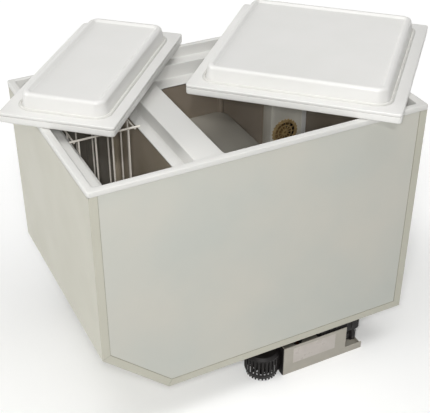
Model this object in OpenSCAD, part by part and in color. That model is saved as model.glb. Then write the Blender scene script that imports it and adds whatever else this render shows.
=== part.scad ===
// Built-in chest refrigerator with two lift-off lids, a chamfered cabinet and a condensing unit hung below.
// Millimetres. +X is to the right, +Y to the back, +Z up. The origin is on the surface that the unit's
// tray stands on, under the middle of the cabinet. Most sub-parts are drawn from the cabinet's lower
// left front corner, and in_cabinet() puts them in the part's own frame.

/* [Cabinet] */
// Overall width of the cabinet
body_w = 770; // [740:1:900]
// Overall depth of the cabinet
body_d = 512; // [500:1:640]
// Height of the sheet-metal cabinet, from its underside to the top frame
body_h = 545; // [500:1:640]
// Width of the sloping cut at the lower left, which clears the hull of a boat
chamfer_w = 148; // [80:1:170]
// Height of the sloping cut
chamfer_h = 139; // [80:1:170]
// Thickness of the coated casing sheet
sheet_t = 1; // [0.8:0.1:2]
// Width of the casing's folded flange on the front and the back
flange_w = 18; // [10:1:30]

/* [Top frame] */
// Height of the frame's band above the cabinet sheet
rim_h = 12.5; // [8:0.5:20]
// How far the band stands out over the sheet
rim_out = 1.5; // [0.5:0.1:4]
// Width of the raised ring at the front and the left
rim_w = 14.5; // [10:0.5:20]
// Width of the raised ring at the right
rim_right = 19; // [12:0.5:26]
// Width of the raised ring at the back
rim_back = 11; // [8:0.5:20]
// Depth of the recess that the lids drop into
recess_h = 27; // [24:0.5:34]
// Width of the landing that carries the edge of a lid
landing_w = 30; // [22:1:36]
// Depth of the collar that takes the lid's plug
collar_h = 34; // [30:1:44]
// Width of the small compartment's collar
small_collar_w = 198.5; // [180:0.5:230]
// Width of the divider between the two collars
divider_w = 66; // [50:1:80]
// Wall of the frame moulding
frame_wall = 3; // [2:0.5:4]
// Corner radius of the two collars
collar_r = 20; // [12:1:30]

/* [Compartments] */
// Ledge below the collar at the back and the front
ledge_deep = 40; // [25:1:50]
// Ledge below the collar at the left, and beside the divider in the large compartment
ledge_side = 20; // [10:1:24]
// Ledge on the divider's side of the small compartment
ledge_divider = 27; // [15:1:32]
// Ledge at the right of the large compartment
ledge_right = 5; // [4:1:15]
// Foam under the floor of both compartments
floor_foam = 60; // [40:1:80]
// Foam behind the sloping wall
slope_foam = 55; // [40:1:65]
// Thickness of the liner sheet
liner_t = 1.2; // [0.8:0.1:2]

/* [Lids] */
// Gap from a lid's edge to the recess, where the lid is seated
lid_gap = 4; // [2:0.5:5]
// Gap between the two seated lids
split_gap = 8.5; // [4:0.5:14]
// Thickness of a lid's edge
lid_t = 23; // [21:0.5:26]
// Height of the outer shell, up to the joint line round the edge
lid_shell_h = 15.5; // [10:0.5:16]
// Corner radius of a lid
lid_r = 7; // [6:1:14]
// Height of the plug on a lid's inner side
plug_h = 33; // [20:1:36]
// Gap from the plug to its collar
plug_gap = 4; // [2:0.5:6]
// Corner radius of the plug
plug_r = 28; // [26:1:40]
// Depth of the shallow pan in the plug
pan_h = 5; // [2:0.5:8]
// Width of the raised border round the pan
pan_border = 13; // [10:1:20]
// Skin thickness of the lid mouldings
skin_t = 2.5; // [2:0.5:4]
// How far the small lid is turned where it lies, in degrees
small_lid_turn = -41.7; // [-46:0.1:-38]
// How far the large lid is turned where it lies, in degrees
large_lid_turn = -43.6; // [-46:0.1:-40]

/* [Wire basket] */
// Thickness of the basket's uprights and floor wires
wire_d = 4; // [3:0.5:5]
// Thickness of the rails that hang on the ledge
rail_d = 5; // [4:0.5:7]
// Depth of the basket, front to back
basket_d = 138; // [110:1:170]
// Height of the basket under its rails
basket_h = 240; // [160:1:300]
// Spacing of the wires across the front
wire_step = 38; // [28:1:45]

/* [Cold side] */
// Width of the fan housing in the large compartment
housing_w = 102; // [90:1:130]
// Depth of the fan housing, from its face to the liner
housing_d = 41; // [36:1:55]
// Height of the fan housing
housing_h = 260; // [200:1:300]
// Radius of the circulation fan's opening
fan_r = 30; // [24:1:34]

/* [Condensing unit] */
// Height of the unit under the cabinet
unit_h = 106; // [100:1:130]
// Left end of the tray, from the cabinet's left side
tray_x = 350; // [330:1:370]
// Width of the tray
tray_w = 323; // [315:1:345]
// Depth of the tray, to its back lip
tray_d = 422; // [360:1:440]
// Set-back of the front plate from the cabinet's front
tray_y = 8; // [4:1:12]
// Thickness of the tray sheet
tray_t = 1.5; // [1:0.1:2.5]
// Width of the tall front plate
plate_w = 175.5; // [160:0.5:190]
// Height of the tall front plate
plate_h = 84; // [70:1:92]
// Height of the low front lip beside the plate
lip_h = 19; // [12:1:26]
// Radius of the intake cowl
cowl_r = 42; // [38:1:44]
// Height of the intake cowl
cowl_h = 70; // [60:1:76]
// Number of slats round the cowl
cowl_slats = 28; // [20:1:36]
// Radius of the compressor shell
comp_r = 60; // [50:1:64]
// Height of the compressor, with its foot plate
comp_h = 82; // [70:1:84]
// Radius of the refrigerant coupling
coupling_r = 21; // [16:1:22]
// Length of the refrigerant coupling
coupling_len = 72; // [60:1:80]

/* [Hidden] */
$fn = 48;

// Clearances
eps = 0.01;            // overlap of shapes that are joined or cut
seat = 0.3;            // air between bodies that lie on one another
fit = 0.2;             // air round an inserted sheet or shell
turn_fit = 0.05;       // running clearance of a rotor on its shaft

// Cabinet
slope_l = sqrt(chamfer_w * chamfer_w + chamfer_h * chamfer_h);
mitre_w = 0.8;

// Levels, from the cabinet's underside
rim_z = body_h + rim_h;
deck_z = rim_z - recess_h;
ledge_z = deck_z - collar_h;
liner_top = ledge_z - frame_wall;

// Plan boxes of the top frame, as [x0, y0, x1, y1]
recess = [rim_w, rim_w, body_w - rim_right, body_d - rim_back];
small_collar = [
    recess[0] + landing_w, recess[1] + landing_w,
    recess[0] + landing_w + small_collar_w, recess[3] - landing_w
];
large_collar = [
    small_collar[2] + divider_w, small_collar[1], recess[2] - landing_w, small_collar[3]
];
small_mouth = [
    small_collar[0] + ledge_side, small_collar[1] + ledge_deep,
    small_collar[2] - ledge_divider, small_collar[3] - ledge_deep
];
large_mouth = [
    large_collar[0] + ledge_side, large_collar[1] + ledge_deep,
    large_collar[2] - ledge_right, large_collar[3] - ledge_deep
];
divider_x = small_collar[2] + divider_w / 2;
recess_r = 5;
mouth_r = 18;
lap = 2;               // how far the frame's ledge laps over the liner

// Lids
small_lid_w = divider_x - split_gap / 2 - recess[0] - lid_gap;
large_lid_w = recess[2] - lid_gap - divider_x - split_gap / 2;
lid_d = recess[3] - recess[1] - 2 * lid_gap;
small_plug_w = small_collar[2] - small_collar[0] - 2 * plug_gap;
large_plug_w = large_collar[2] - large_collar[0] - 2 * plug_gap;
plug_d = small_collar[3] - small_collar[1] - 2 * plug_gap;
// A lid that is turned over shows its plug shifted the other way
small_plug_x = recess[0] + lid_gap + small_lid_w / 2 - (small_collar[0] + small_collar[2]) / 2;
large_plug_x = recess[2] - lid_gap - large_lid_w / 2 - (large_collar[0] + large_collar[2]) / 2;
lid_edge_r = 4;        // round of the outer face's edge
groove_h = 1.2;        // open joint between the two mouldings
spigot_h = 6;          // how far the inner moulding reaches into the shell
draft = 4;             // how much narrower the plug is at its top, each side
plug_edge = 8;         // round of the plug's top edge
gasket_w = 6;
gasket_h = 3.5;
// Where the lids lie: the near right corner of the small one, the near left corner of the large one,
// measured from the divider's middle and the cabinet's front
small_lid_corner = [divider_x - 159, 163];
large_lid_corner = [divider_x + 50, 273];

// Wire basket, hung on the ledge in the back half of the small compartment
rail_z = ledge_z + seat + rail_d / 2;
rail_reach = 4;        // how far the rails' ends lie on the ledge
basket_gap = 6;        // from the basket to the liner's sides
basket_back = 8;       // from the basket to the line of the ledge at the back
basket_x0 = small_mouth[0] + basket_gap;
basket_x1 = small_mouth[2] - basket_gap;
basket_y1 = small_mouth[3] - basket_back;
basket_y0 = basket_y1 - basket_d;
basket_r = 14;         // bend of the wires at the floor
weld = 0.5;            // how far crossing wires are pressed into each other
side_rail_z = rail_z - rail_d / 2 - wire_d / 2 + weld;
wire_n = floor((basket_x1 - basket_x0 - 2 * wire_d) / wire_step) + 1;
wire_shift = 3;        // how far the front wires stand to the left of the middle
side_step = 46;
side_n = floor((basket_d - 2 * wire_d) / side_step);

// Cold side
plate_gap = 2;         // air behind the small compartment's evaporator plate
plate_left = 18;       // from the plate to the compartment's left side
plate_right = 8;
plate_drop = 12;       // from the liner's top edge to the plate
channel_in = 12;       // from the plate's edge to its outer channels
plate_t = 1.5;
channel_r = 3;
channel_n = 5;
evap_h = 250;
housing_t = 1.5;
housing_x1 = large_mouth[2] + lap - fit;
housing_x0 = housing_x1 - housing_w;
housing_y0 = large_mouth[3] + lap - fit - housing_d;
housing_drop = 20;     // from the liner's top edge to the housing
housing_z1 = liner_top - housing_drop;
housing_z0 = housing_z1 - housing_h;
fan_edge = 10;         // from the fan's opening to the housing's side
fan_drop = 154;        // from the housing's top to the fan's axis
fan_x = housing_x0 + fan_r + fan_edge;
fan_z = housing_z1 - fan_drop;
guard_rim = 5;         // width of the guard's rim
guard_r = fan_r + guard_rim;
guard_t = 3;
frame_y = housing_y0 + housing_t;
frame_len = 20;
frame_t = 3;
fan_motor_len = 6;
rotor_len = 9;
blade_n = 7;
fan_hub_r = 11;
fan_shaft_r = 1.5;
slot_n = 6;
bead_in = 165;         // from the large compartment's left side to the bead
duct_x = large_mouth[0] + bead_in;
duct_r = 8;

// Condensing unit, in cabinet coordinates, so that everything here lies below zero
tray_z = -unit_h;
tray_top = tray_z + tray_t;
tray_right = tray_x + tray_w;
plate_in = 99.5;       // from the tray's left end to the tall plate
plate_x = tray_x + plate_in;
plate_x1 = plate_x + plate_w;
plate_return = 12;
back_y = tray_y + tray_d;
step_d = 134;          // how far the tray steps back behind the cowl
left_y = tray_y + step_d;
side_lip_h = 12;
cowl_in = 37.5;        // from the plate to the cowl's axis
cowl_back = 40;        // from the tray's front to the cowl's axis
cowl_x = plate_x - cowl_in;
cowl_y = tray_y + cowl_back;
cowl_z = tray_top;
cowl_wall = 2;
cowl_flare = 4;        // how much wider the cowl is than its foot
cowl_foot_r = cowl_r - cowl_flare;
cowl_foot_h = 16;      // height over which the cowl widens from its foot
cowl_top = cowl_z + cowl_h;
tooth_h = 6;
duct_lap = 10;         // how far the duct reaches over the tray
duct_end = left_y + duct_lap;
intake_r = 30;
intake_lift = 8;
intake_z = cowl_z + intake_lift;
intake_len = 16;
intake_hub_r = 9;
intake_blade_n = 9;
intake_pitch = 35;     // pitch of the blades, in degrees
motor_r = 28;
motor_gap = 2;
motor_z = intake_z + intake_len + motor_gap;
motor_shaft_r = 2.5;
hanger_t = 1.5;
hanger_flange = 20;
hanger_gap = 4;        // from the tray's front edge to the hangers
hanger_back = 30;      // from the hangers to the tray's back edge
hanger_y0 = left_y + hanger_gap;
hanger_y1 = back_y - hanger_back;
hanger_hole_r = 19;
hanger_hole_in = 40;   // from a hanger's front end to its first hole
hanger_hole_step = 56;
screw_r = 2.5;
screw_head_r = 4.5;
screw_head_h = 3;
screw_grip = 12;
screw_in = 25;         // from a hanger's end to its screw
screw_ys = [hanger_y0 + screw_in, (hanger_y0 + hanger_y1) / 2, hanger_y1 - screw_in];
unit_gap = 4;          // least air between the unit's parts
mount_h = 8;
mount_r = 12;
foot_t = 2.5;
foot_w = 22;
foot_z = tray_top + mount_h;
foot_out = 6;          // from the compressor's shell to the bolts
foot_reach = comp_r + foot_out;
comp_x = tray_right - tray_t - fit - hanger_t - hanger_flange - unit_gap - mount_r - foot_reach * cos(45);
comp_back = 134;       // from the tray's front to the compressor's axis
comp_y = tray_y + comp_back;
seam_w = 4;
bolt_r = 3;
cond_w = 88;
cond_d = 100;
cond_gap = 2;          // from the duct's end to the fins
cond_drop = 14;        // from the cabinet's underside to the fins
cond_x0 = tray_x + tray_t + fit + hanger_t + hanger_flange + unit_gap;
cond_x1 = cond_x0 + cond_w;
cond_y0 = duct_end + cond_gap;
cond_y1 = cond_y0 + cond_d;
cond_z1 = -cond_drop;
fin_n = 20;
fin_t = 1;
tube_r = 4;
tube_step = 30;
tube_in = 20;          // from the fins' lower and upper edge to the tubes
box_w = 110;
box_d = 30;
box_r = 7;
box_out = 38;          // how far the box reaches past the plate
box_x1 = plate_x1 + box_out;
box_h = 42;
box_z0 = -box_h;
coupling_drop = 66;    // from the cabinet's underside to the coupling's axis
coupling_back = 26;    // from the tray's front to the coupling's axis
coupling_out = 44;     // how far the coupling reaches past the plate
coupling_z = -coupling_drop;
coupling_y = tray_y + coupling_back;
coupling_x1 = plate_x1 + coupling_out;
dryer_len = 100;
dryer_gap = 50;        // from the condenser to the dryer's axis
dryer_in = 30;         // from the condenser's left side to the dryer
dryer_lift = 16;
dryer_y = cond_y1 + dryer_gap;
dryer_x = cond_x0 + dryer_in;
dryer_z = tray_top + dryer_lift;
dryer_r = 10;
line_r = 3;
line_run = 40;         // how far the liquid line runs beyond the dryer, each way
suction_r = 4;
suction_back = 46;     // from the compressor's shell back to the line's riser
suction_x = comp_x - comp_r - seam_w - unit_gap - suction_r;
suction_y = comp_y + comp_r + suction_back;

// General shapes

module in_cabinet() {
    translate([-body_w / 2, -body_d / 2, unit_h]) children();
}

function grow(b, g) = [b[0] - g, b[1] - g, b[2] + g, b[3] + g];

// Flat rectangle from plan box b with round corners
module plan(b, r) {
    translate([b[0] + r, b[1]]) square([b[2] - b[0] - 2 * r, b[3] - b[1]]);
    translate([b[0], b[1] + r]) square([b[2] - b[0], b[3] - b[1] - 2 * r]);
    for (x = [b[0] + r, b[2] - r], y = [b[1] + r, b[3] - r])
        translate([x, y]) circle(r);
}

module prism(b, z0, z1, r) {
    translate([0, 0, z0]) linear_extrude(z1 - z0) plan(b, r);
}

module cuboid(a, b) {
    translate(a) cube(b - a);
}

// Extrudes a shape drawn in X and Z from y0 to y1
module along_y(y0, y1) {
    translate([0, y1, 0]) rotate([90, 0, 0]) linear_extrude(y1 - y0) children();
}

module rod(a, b, r) {
    v = b - a;
    l = norm(v);
    translate(a) rotate([0, acos(v[2] / l), atan2(v[1], v[0])]) cylinder(r = r, h = l);
}

// Round tube along a list of points, with a ball at each bend
module pipe(pts, r) {
    for (i = [0 : len(pts) - 2]) rod(pts[i], pts[i + 1], r);
    for (i = [1 : len(pts) - 2]) translate(pts[i]) sphere(r);
}

// Wire bent into a U: down from z1, along the floor at z0, and up again, between u0 and u1
module u_wire(u0, u1, z0, z1, r, bend) {
    for (u = [u0, u1]) translate([u, 0, z0 + bend]) cylinder(r = r, h = z1 - z0 - bend);
    translate([u0 + bend, 0, z0]) rotate([0, 90, 0]) cylinder(r = r, h = u1 - u0 - 2 * bend);
    translate([u0 + bend, 0, z0 + bend]) rotate([90, 0, 0]) rotate([0, 0, 180])
        rotate_extrude(angle = 90) translate([bend, 0]) circle(r);
    translate([u1 - bend, 0, z0 + bend]) rotate([90, 0, 0]) rotate([0, 0, 270])
        rotate_extrude(angle = 90) translate([bend, 0]) circle(r);
}

// Cabinet

// Section of the cabinet in X and Z, moved inwards by i
function section(i, top) = [
    [i, top],
    [i, (chamfer_w * chamfer_h + i * (slope_l - chamfer_h)) / chamfer_w],
    [(chamfer_w * chamfer_h + i * (slope_l - chamfer_w)) / chamfer_h, i],
    [body_w - i, i],
    [body_w - i, top]
];

module end_flange(y0) {
    difference() {
        along_y(y0, y0 + sheet_t) polygon(section(0, body_h));
        along_y(y0 - 1, y0 + sheet_t + 1) polygon(section(flange_w, body_h + 1));
        // Open mitre at each fold of the slope
        for (i = [1, 2]) {
            a = section(-2, body_h)[i];
            b = section(flange_w + 2, body_h)[i];
            translate([a[0], y0 - 1, a[1]]) rotate([0, -atan2(b[1] - a[1], b[0] - a[0]), 0])
                translate([sheet_t + 2.5, 0, -mitre_w / 2]) cube([norm(b - a), sheet_t + 2, mitre_w]);
        }
    }
}

module side_wrap() {
    color("#C6C4B8") in_cabinet() difference() {
        union() {
            difference() {
                along_y(0, body_d) polygon(section(0, body_h));
                along_y(-1, body_d + 1) polygon(section(sheet_t, body_h + 1));
            }
            end_flange(0);
            end_flange(body_d - sheet_t);
        }
        hanger_holes(screw_r + fit, -1, sheet_t + 1);
    }
}

module end_panel(y0) {
    along_y(y0, y0 + sheet_t) polygon(section(sheet_t + fit, body_h));
}

module front_panel() {
    color("#BBBCB5") in_cabinet() end_panel(sheet_t);
}

module back_panel() {
    color("#BBBCB5") in_cabinet() end_panel(body_d - 2 * sheet_t);
}

// Section of the small compartment in X and Z, moved outwards by g, with its floor on the slope
function small_section(g, top) =
    let (k = chamfer_w * chamfer_h + (slope_foam - g) * slope_l,
         x0 = small_mouth[0] - lap - g,
         z0 = floor_foam - g)
    [
        [x0, top],
        [x0, (k - x0 * chamfer_h) / chamfer_w],
        [(k - z0 * chamfer_w) / chamfer_h, z0],
        [small_mouth[2] + lap + g, z0],
        [small_mouth[2] + lap + g, top]
    ];

module small_space(g, top) {
    intersection() {
        prism(grow(small_mouth, lap + g), 0, top, mouth_r + g);
        along_y(0, body_d) polygon(small_section(g, top));
    }
}

module large_space(g, top) {
    prism(grow(large_mouth, lap + g), floor_foam - g, top, mouth_r + g);
}

module small_liner() {
    color("#6B6358") in_cabinet() difference() {
        small_space(liner_t, liner_top);
        small_space(0, liner_top + 1);
    }
}

module large_liner() {
    color("#6B6358") in_cabinet() {
        difference() {
            large_space(liner_t, liner_top);
            large_space(0, liner_top + 1);
        }
        // Bead pressed over the tubes in the back wall
        intersection() {
            translate([duct_x, large_mouth[3] + lap + 1, floor_foam - eps])
                cylinder(r = duct_r, h = liner_top - floor_foam + eps);
            large_space(eps, liner_top);
        }
    }
}

module insulation_foam() {
    color("#E3D7A6") in_cabinet() difference() {
        along_y(2 * sheet_t, body_d - 2 * sheet_t) polygon(section(sheet_t, deck_z - frame_wall));
        for (c = [small_collar, large_collar])
            prism(grow(c, frame_wall), liner_top, deck_z + 1, collar_r + frame_wall);
        small_space(liner_t, liner_top + 1);
        large_space(liner_t, liner_top + 1);
        hanger_holes(screw_r + fit, 0, screw_grip + 1);
    }
}

module top_frame() {
    inner = [sheet_t, 2 * sheet_t, body_w - sheet_t, body_d - 2 * sheet_t];
    color("#E6E5E0") in_cabinet() difference() {
        union() {
            prism(grow([0, 0, body_w, body_d], rim_out), body_h, rim_z, recess_r);
            cuboid([inner[0], inner[1], deck_z - frame_wall], [inner[2], inner[3], body_h + eps]);
            for (c = [small_collar, large_collar])
                prism(grow(c, frame_wall), liner_top, deck_z - eps, collar_r + frame_wall);
        }
        prism(recess, deck_z, rim_z + 1, recess_r);
        for (c = [small_collar, large_collar]) prism(c, ledge_z, rim_z, collar_r);
        prism(small_mouth, liner_top - 1, rim_z, mouth_r);
        prism(large_mouth, liner_top - 1, rim_z, mouth_r);
    }
}

// Cold side

// Roll-bond plate with a raised channel that runs up and down
module evaporator_plate() {
    x0 = small_mouth[0] + plate_left;
    x1 = small_mouth[2] - plate_right;
    y = small_mouth[3] + lap - plate_gap - plate_t;
    z1 = liner_top - plate_drop;
    z0 = z1 - evap_h;
    step = (x1 - x0 - 2 * channel_in) / (channel_n - 1);
    color("#8F8B82") in_cabinet() {
        cuboid([x0, y, z0], [x1, y + plate_t, z1]);
        for (x = [x0 + channel_in, x1 - channel_in], z = [z0 + channel_in, z1 - channel_in])
            translate([x, y + plate_t - eps, z]) rotate([-90, 0, 0]) cylinder(r = 4, h = plate_gap + eps);
        intersection() {
            union() {
                for (i = [0 : channel_n - 1])
                    translate([x0 + channel_in + i * step, y + 1, z0 + 2 * channel_in])
                        cylinder(r = channel_r, h = evap_h - 4 * channel_in);
                for (i = [0 : channel_n - 2]) {
                    up = i % 2 == 0;
                    translate([x0 + channel_in + (i + 0.5) * step, y + 1,
                        up ? z1 - 2 * channel_in : z0 + 2 * channel_in])
                        rotate([90, 0, 0]) rotate([0, 0, up ? 0 : 180])
                            rotate_extrude(angle = 180) translate([step / 2, 0]) circle(channel_r);
                }
            }
            cuboid([x0, y - channel_r, z0], [x1, y + 0.5, z1]);
        }
    }
}

module wire_basket() {
    r = wire_d / 2;
    z0 = rail_z - basket_h;
    top = rail_z;
    x_mid = (basket_x0 + basket_x1) / 2 - wire_shift;
    color("#C9C0B2") in_cabinet() {
        // Front and back rails, whose ends lie on the ledge
        for (y = [basket_y0, basket_y1]) {
            rod([small_mouth[0] - rail_reach, y, rail_z], [small_mouth[2] + rail_reach, y, rail_z], rail_d / 2);
            for (x = [small_mouth[0] - rail_reach, small_mouth[2] + rail_reach])
                translate([x, y, rail_z]) sphere(rail_d / 2);
        }
        for (x = [basket_x0, basket_x1])
            rod([x, basket_y0, side_rail_z], [x, basket_y1, side_rail_z], r);
        // Wires that run down the front, along the floor and up the back
        for (i = [0 : wire_n - 1])
            translate([x_mid + (i - (wire_n - 1) / 2) * wire_step, 0, 0]) rotate([0, 0, 90])
                u_wire(basket_y0, basket_y1, z0, top, r, basket_r);
        // Wires that run down one side, over the floor wires and up the other side
        for (i = [1 : side_n])
            translate([0, basket_y0 + i * side_step, 0])
                u_wire(basket_x0, basket_x1, z0 + wire_d - weld, side_rail_z, r, basket_r);
    }
}

module fan_housing() {
    x0 = housing_x0;
    x1 = housing_x1;
    y0 = housing_y0;
    y1 = housing_y0 + housing_d;
    color("#B9B6A6") in_cabinet() difference() {
        // The back corner follows the round corner of the liner
        intersection() {
            cuboid([x0, y0, housing_z0], [x1, y1, housing_z1]);
            large_space(-fit, liner_top);
        }
        cuboid([x0 + housing_t, y0 + housing_t, housing_z0 + housing_t],
            [x1 - housing_t, y1 + 1, housing_z1 - housing_t]);
        translate([fan_x, y0 - 1, fan_z]) rotate([-90, 0, 0]) cylinder(r = fan_r, h = housing_t + 2);
        // Air outlet slots above and below the fan
        for (i = [0 : slot_n - 1], z = [housing_z1 - 34, housing_z0 + 22])
            translate([x0 + 14 + i * (housing_w - 28) / slot_n, y0 - 1, z])
                cube([(housing_w - 28) / slot_n - 4, housing_t + 2, 14]);
    }
}

module ring_y(y0, y1, r0, r1) {
    translate([fan_x, y0, fan_z]) rotate([-90, 0, 0]) difference() {
        cylinder(r = r1, h = y1 - y0);
        translate([0, 0, -1]) cylinder(r = r0, h = y1 - y0 + 2);
    }
}

// Round guard with a toothed rim, on the face of the housing
module fan_guard() {
    y0 = housing_y0 - guard_t;
    color("#A5834D") in_cabinet() difference() {
        union() {
            ring_y(y0, housing_y0, fan_r - 2, guard_r);
            ring_y(y0, y0 + 1.5, fan_r - 12, fan_r - 9.5);
            translate([fan_x, y0, fan_z]) rotate([-90, 0, 0]) cylinder(r = 8, h = 1.5);
            for (i = [0 : 23]) translate([fan_x, y0 + 1, fan_z]) rotate([0, i * 15, 0])
                translate([guard_r - 1, 0, -1.5]) cube([3, guard_t - 1, 3]);
            for (i = [0 : 11]) translate([fan_x, y0, fan_z]) rotate([0, i * 30, 0])
                translate([7, 0, -0.8]) cube([fan_r - 8, 1.5, 1.6]);
        }
        translate([fan_x, y0 - 1, fan_z]) rotate([-90, 0, 0]) cylinder(r = 3, h = 4);
    }
}

// Fan frame behind the housing's face, with the motor on three struts and the shaft in front of it
module fan_frame() {
    y1 = frame_y + frame_len;
    motor_y = y1 - fan_motor_len;
    color("#2A2826") in_cabinet() {
        ring_y(frame_y, y1, fan_r, fan_r + frame_t);
        translate([fan_x, motor_y, fan_z]) rotate([-90, 0, 0]) cylinder(r = fan_hub_r + 1, h = fan_motor_len + 1);
        for (i = [0 : 2]) translate([fan_x, y1 - 4, fan_z]) rotate([0, i * 120 + 30, 0])
            translate([fan_hub_r - 1, 0, -1.5]) cube([fan_r - fan_hub_r + 2, 3, 3]);
        translate([fan_x, motor_y - rotor_len - 2, fan_z]) rotate([-90, 0, 0])
            cylinder(r = fan_shaft_r, h = rotor_len + 4);
    }
}

// Blades round a hub whose axis is Z, between z 0 and len
module blades(hub_r, tip_r, len, n, pitch) {
    difference() {
        for (i = [0 : n - 1]) rotate([0, 0, i * 360 / n])
            translate([hub_r - 1, 0, len / 2]) rotate([pitch, 0, 0])
                translate([0, -tip_r * 0.3, -0.6]) cube([tip_r - hub_r + 6, tip_r * 0.6, 1.2]);
        difference() {
            translate([0, 0, -len]) cylinder(r = 2 * tip_r, h = 3 * len);
            cylinder(r = tip_r, h = len);
        }
        cylinder(r = hub_r - 0.5, h = len);
    }
}

module circulation_rotor() {
    y1 = frame_y + frame_len - fan_motor_len - 1;
    color("#8A6A3C") in_cabinet() translate([fan_x, y1, fan_z]) rotate([90, 0, 0]) difference() {
        union() {
            cylinder(r = fan_hub_r, h = rotor_len);
            blades(fan_hub_r, fan_r - 2, rotor_len, blade_n, 28);
        }
        translate([0, 0, -1]) cylinder(r = fan_shaft_r + turn_fit, h = rotor_len + 2);
    }
}

// Finned tube behind the fan
module evaporator_coil() {
    y0 = frame_y + frame_len + 3;
    y1 = housing_y0 + housing_d - 2;
    x0 = housing_x0 + 8;
    x1 = housing_x1 - 8;
    z0 = housing_z0 + 30;
    z1 = housing_z1 - 40;
    fins = 16;
    color("#B8BBBD") in_cabinet() {
        for (i = [0 : fins - 1]) {
            z = z0 + i * (z1 - z0 - 1) / (fins - 1);
            cuboid([x0 + 6, y0, z], [x1 - 6, y1, z + 1]);
        }
        for (x = [x0 + 14, (x0 + x1) / 2, x1 - 14])
            translate([x, (y0 + y1) / 2, z0]) cylinder(r = 3.5, h = z1 - z0);
    }
}

// Lids, drawn turned over: the outer face lies at z 0 and the plug points up, round the middle

function middle(w, d) = [-w / 2, -d / 2, w / 2, d / 2];

// Plate whose lower edge is rounded all the way round
module soft_plate(w, d, r, h, e) {
    b = middle(w, d);
    prism(grow(b, -e), 0, h, r - e);
    prism(b, e, h, r);
    for (y = [b[1] + e, b[3] - e]) rod([b[0] + r, y, e], [b[2] - r, y, e], e);
    for (x = [b[0] + e, b[2] - e]) rod([x, b[1] + r, e], [x, b[3] - r, e], e);
    for (x = [b[0] + r, b[2] - r], y = [b[1] + r, b[3] - r])
        translate([x, y, e]) rotate_extrude() intersection() {
            translate([r - e, 0]) circle(e);
            translate([0, -e]) square([r, 2 * e]);
        }
}

module lid_shell(w) {
    difference() {
        soft_plate(w, lid_d, lid_r, lid_shell_h, lid_edge_r);
        prism(grow(middle(w, lid_d), -skin_t), skin_t, lid_shell_h + 1, lid_r - skin_t);
    }
}

// Four corner pucks with a rounded upper edge; their hull is the plug or the space inside it
module pucks(b, r, z, e) {
    for (x = [b[0] + r, b[2] - r], y = [b[1] + r, b[3] - r]) translate([x, y, z - e])
        rotate_extrude($fn = 40) intersection() {
            union() {
                translate([r - e, 0]) circle(e, $fn = 32);
                square([r - e, e]);
            }
            square([r, e]);
        }
}

module plug_form(b, r, z0, z1, e) {
    hull() {
        prism(b, z0, z0 + 1, r, $fn = 40);
        pucks(grow(b, -draft), r - draft, z1, e);
    }
}

module lid_liner(w, pw, px) {
    plug = middle(pw, plug_d) + [px, 0, px, 0];
    edge = middle(w, lid_d);
    in_shell = grow(edge, -skin_t - fit);
    top = lid_t + plug_h;
    pan = grow(plug, -draft - pan_border);
    difference() {
        union() {
            prism(edge, lid_shell_h + groove_h, lid_t, lid_r);
            prism(in_shell, lid_shell_h - spigot_h, lid_t - eps, lid_r - skin_t - fit);
            plug_form(plug, plug_r, lid_t - 1, top, plug_edge);
        }
        // Shallow pan, wider at its mouth
        hull() {
            prism(grow(pan, -4), top - pan_h, top - pan_h + eps, plug_r - pan_border - 8, $fn = 32);
            prism(pan, top, top + 1, plug_r - pan_border - 4, $fn = 32);
        }
        prism(grow(in_shell, -skin_t), lid_shell_h - spigot_h - 1, lid_t - skin_t, lid_r - 2 * skin_t - fit);
        plug_form(grow(plug, -skin_t), plug_r - skin_t, lid_t - skin_t - 1, top - pan_h - skin_t, plug_edge - 2);
    }
}

module lid_core(w, pw, px) {
    plug = middle(pw, plug_d) + [px, 0, px, 0];
    edge = middle(w, lid_d);
    air = skin_t + fit;
    prism(grow(edge, -air), air, lid_shell_h - spigot_h - fit, lid_r - air);
    prism(grow(edge, -2 * air), air + 1, lid_t - air, lid_r - 2 * air);
    plug_form(grow(plug, -air), plug_r - air, lid_t - air - 1, lid_t + plug_h - pan_h - air, plug_edge - 2);
}

module lid_gasket(w, pw, px) {
    plug = middle(pw, plug_d) + [px, 0, px, 0];
    difference() {
        union() {
            prism(grow(plug, 2 + gasket_w), lid_t, lid_t + 1.2, plug_r + 2 + gasket_w);
            prism(grow(plug, gasket_w), lid_t, lid_t + gasket_h, plug_r + gasket_w);
        }
        prism(grow(plug, 2), lid_t - 1, lid_t + gasket_h + 1, plug_r + 2);
    }
}

module small_lid_place() {
    in_cabinet() translate([small_lid_corner[0], small_lid_corner[1], rim_z + seat])
        rotate([0, 0, small_lid_turn]) translate([-small_lid_w / 2, lid_d / 2, 0]) children();
}

module large_lid_place() {
    in_cabinet() translate([large_lid_corner[0], large_lid_corner[1], rim_z + seat])
        rotate([0, 0, large_lid_turn]) translate([large_lid_w / 2, lid_d / 2, 0]) children();
}

module small_lid_shell() { color("#E4E3DF") small_lid_place() lid_shell(small_lid_w); }
module small_lid_core() { color("#E3D7A6") small_lid_place() lid_core(small_lid_w, small_plug_w, small_plug_x); }
module small_lid_liner() { color("#E0DFDB") small_lid_place() lid_liner(small_lid_w, small_plug_w, small_plug_x); }
module small_lid_gasket() { color("#C9C8C2") small_lid_place() lid_gasket(small_lid_w, small_plug_w, small_plug_x); }
module large_lid_shell() { color("#E4E3DF") large_lid_place() lid_shell(large_lid_w); }
module large_lid_core() { color("#E3D7A6") large_lid_place() lid_core(large_lid_w, large_plug_w, large_plug_x); }
module large_lid_liner() { color("#E0DFDB") large_lid_place() lid_liner(large_lid_w, large_plug_w, large_plug_x); }
module large_lid_gasket() { color("#C9C8C2") large_lid_place() lid_gasket(large_lid_w, large_plug_w, large_plug_x); }

// Condensing unit

module hanger_holes(r, z0, z1) {
    for (x = hanger_screw_xs(), y = screw_ys) translate([x, y, z0]) cylinder(r = r, h = z1 - z0);
}

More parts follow.
